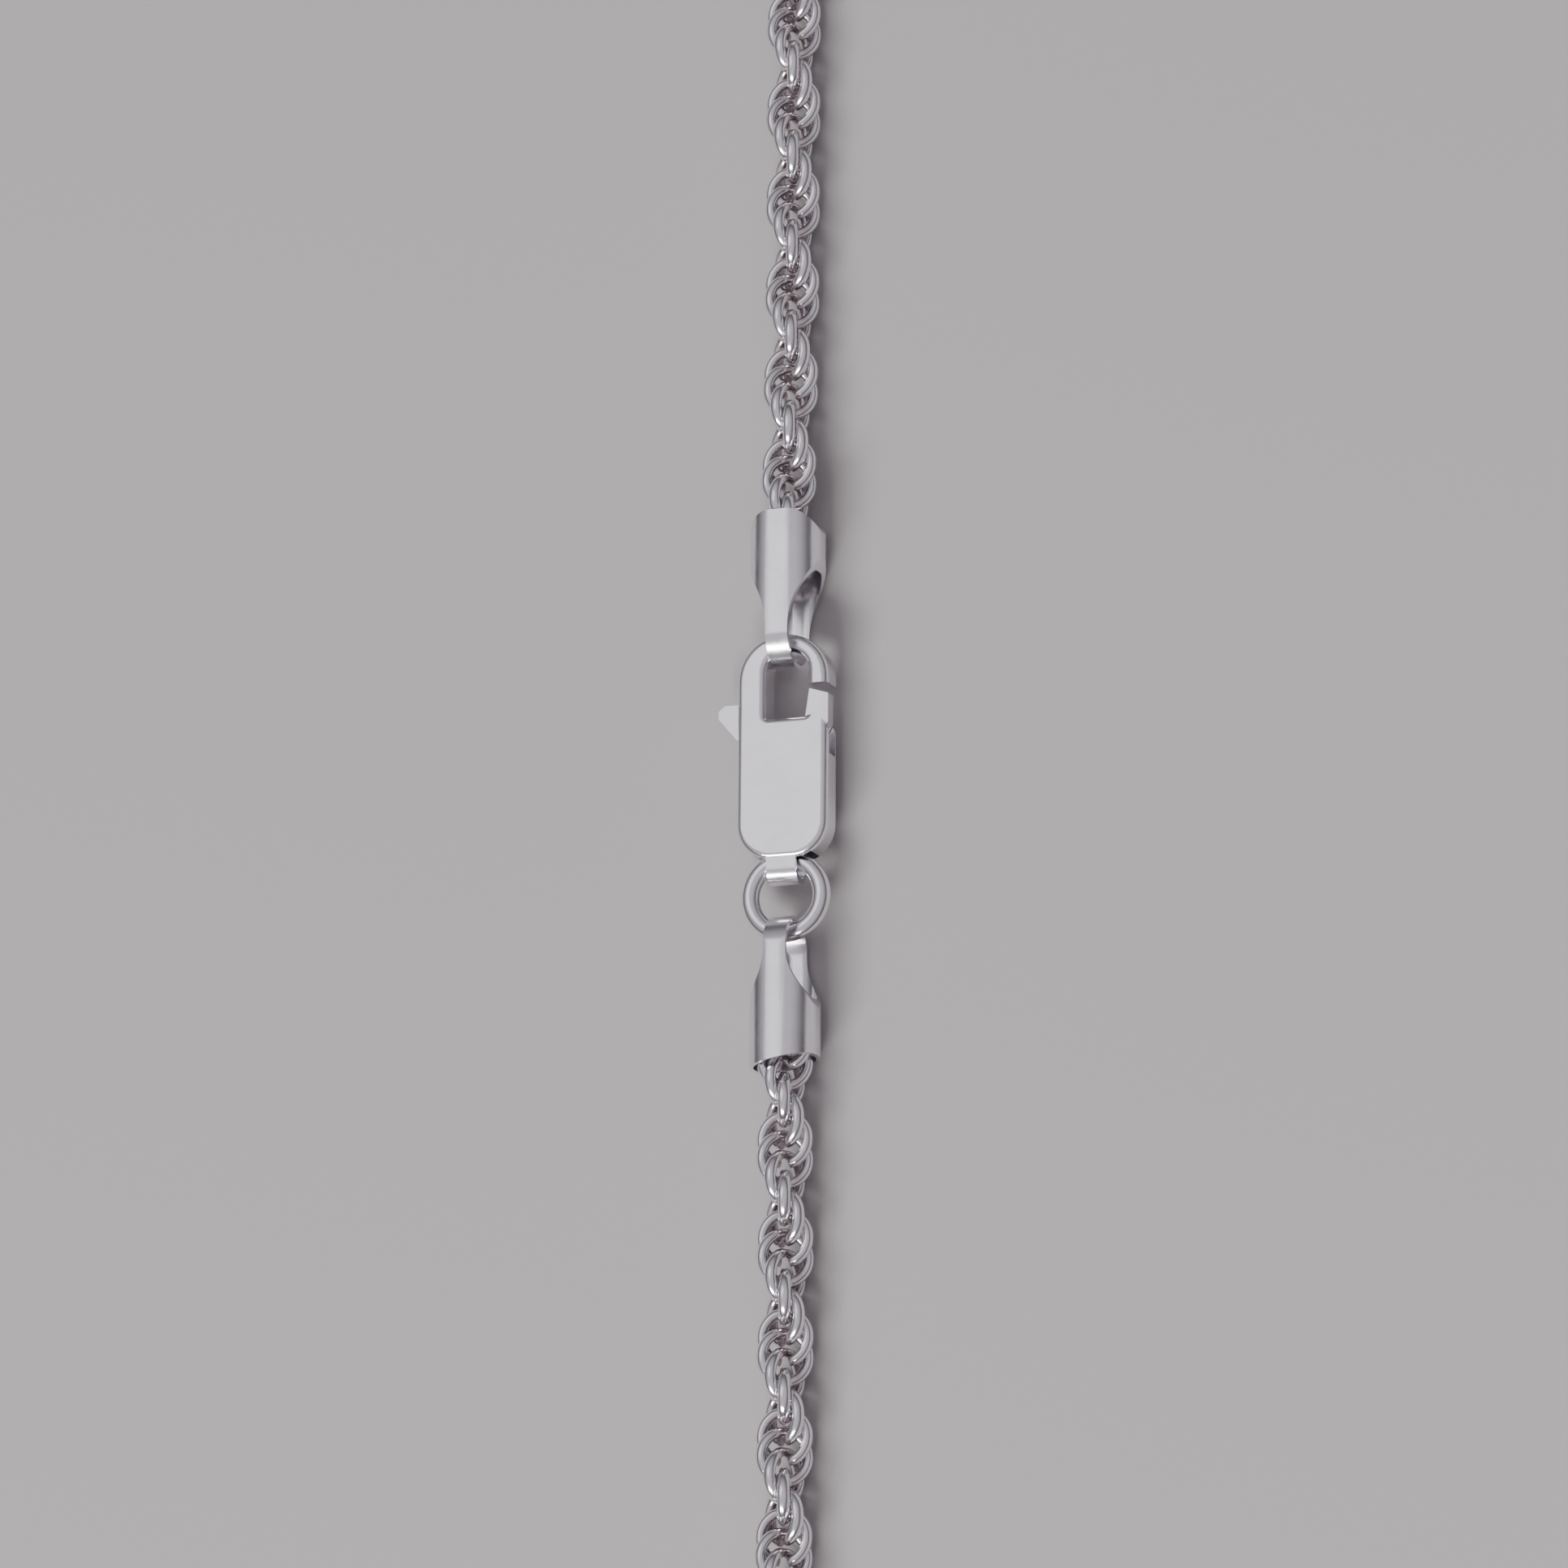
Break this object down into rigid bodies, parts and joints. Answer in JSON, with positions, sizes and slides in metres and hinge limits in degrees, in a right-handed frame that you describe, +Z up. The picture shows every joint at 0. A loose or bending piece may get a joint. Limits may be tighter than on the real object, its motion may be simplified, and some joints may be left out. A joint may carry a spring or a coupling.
{
  "type": "chain necklace",
  "caption": "Rope chain necklace laid in a long loop, with folded end caps, a jump ring and a lobster clasp with a sprung trigger.",
  "frame": {"origin": "middle of the laid loop's outer box, on the surface that the necklace lies on", "axes": "+Y along the fastened clasp from the lower cap to the upper cap, +X across the loop away from the clasp, +Z up"},
  "size_m": [0.0666, 0.2002, 0.0036],
  "materials": {
    "rope_silver": "polished sterling silver, diamond-cut facets",
    "cap_silver": "polished sheet silver",
    "ring_silver": "polished silver wire",
    "clasp_silver": "polished cast silver",
    "trigger_silver": "tumbled cast silver",
    "spring_steel": "drawn spring wire"
  },
  "bodies": {
    "rope": {"rope_links_01": "rope_silver", "rope_links_02": "rope_silver", "rope_links_03": "rope_silver", "rope_links_04": "rope_silver", "rope_links_05": "rope_silver", "rope_links_06": "rope_silver", "rope_links_07": "rope_silver", "rope_links_08": "rope_silver", "rope_links_09": "rope_silver", "rope_links_10": "rope_silver", "rope_links_11": "rope_silver", "rope_links_12": "rope_silver", "rope_links_13": "rope_silver", "rope_links_14": "rope_silver", "rope_links_15": "rope_silver", "rope_links_16": "rope_silver", "rope_links_17": "rope_silver", "rope_links_18": "rope_silver", "rope_links_19": "rope_silver", "rope_links_20": "rope_silver", "rope_links_21": "rope_silver", "rope_links_22": "rope_silver", "rope_links_23": "rope_silver", "rope_links_24": "rope_silver", "rope_links_25": "rope_silver", "rope_links_26": "rope_silver", "rope_links_27": "rope_silver", "rope_links_28": "rope_silver", "rope_links_29": "rope_silver", "rope_links_30": "rope_silver", "rope_links_31": "rope_silver", "rope_links_32": "rope_silver", "rope_links_33": "rope_silver", "rope_links_34": "rope_silver", "rope_links_35": "rope_silver", "rope_links_36": "rope_silver", "end_cap_lower": "cap_silver"},
    "ring": {"jump_ring": "ring_silver"},
    "clasp": {"clasp_body": "clasp_silver", "trigger_pin": "trigger_silver", "trigger_spring": "spring_steel"},
    "upper_cap": {"end_cap_upper": "cap_silver"},
    "gate": {"trigger": "trigger_silver"}
  },
  "joints": [
    {"name": "ring_lift", "type": "hinge", "parent": "rope", "child": "ring", "pos_m": [-0.02972, -0.00789, 0.00182], "axis": [1, 0, 0], "range_deg": [0, 30]},
    {"name": "clasp_tilt", "type": "hinge", "parent": "ring", "child": "clasp", "pos_m": [-0.02972, -0.00403, 0.00182], "axis": [1, 0, 0], "range_deg": [-40, 0]},
    {"name": "upper_cap_tilt", "type": "hinge", "parent": "clasp", "child": "upper_cap", "pos_m": [-0.02972, 0.00724, 0.00182], "axis": [1, 0, 0], "range_deg": [0, 10]},
    {"name": "trigger_open", "type": "hinge", "parent": "clasp", "child": "gate", "pos_m": [-0.02942, 0.0009, 0.00182], "axis": [0, 0, 1], "range_deg": [0, 24], "stiffness_Nm_per_rad": 0.002, "springref_deg": -17.19}
  ],
  "couplings": [
    {"joint": "clasp_tilt", "follows": "ring_lift", "ratio": -1.3286},
    {"joint": "upper_cap_tilt", "follows": "ring_lift", "ratio": 0.3286}
  ]
}
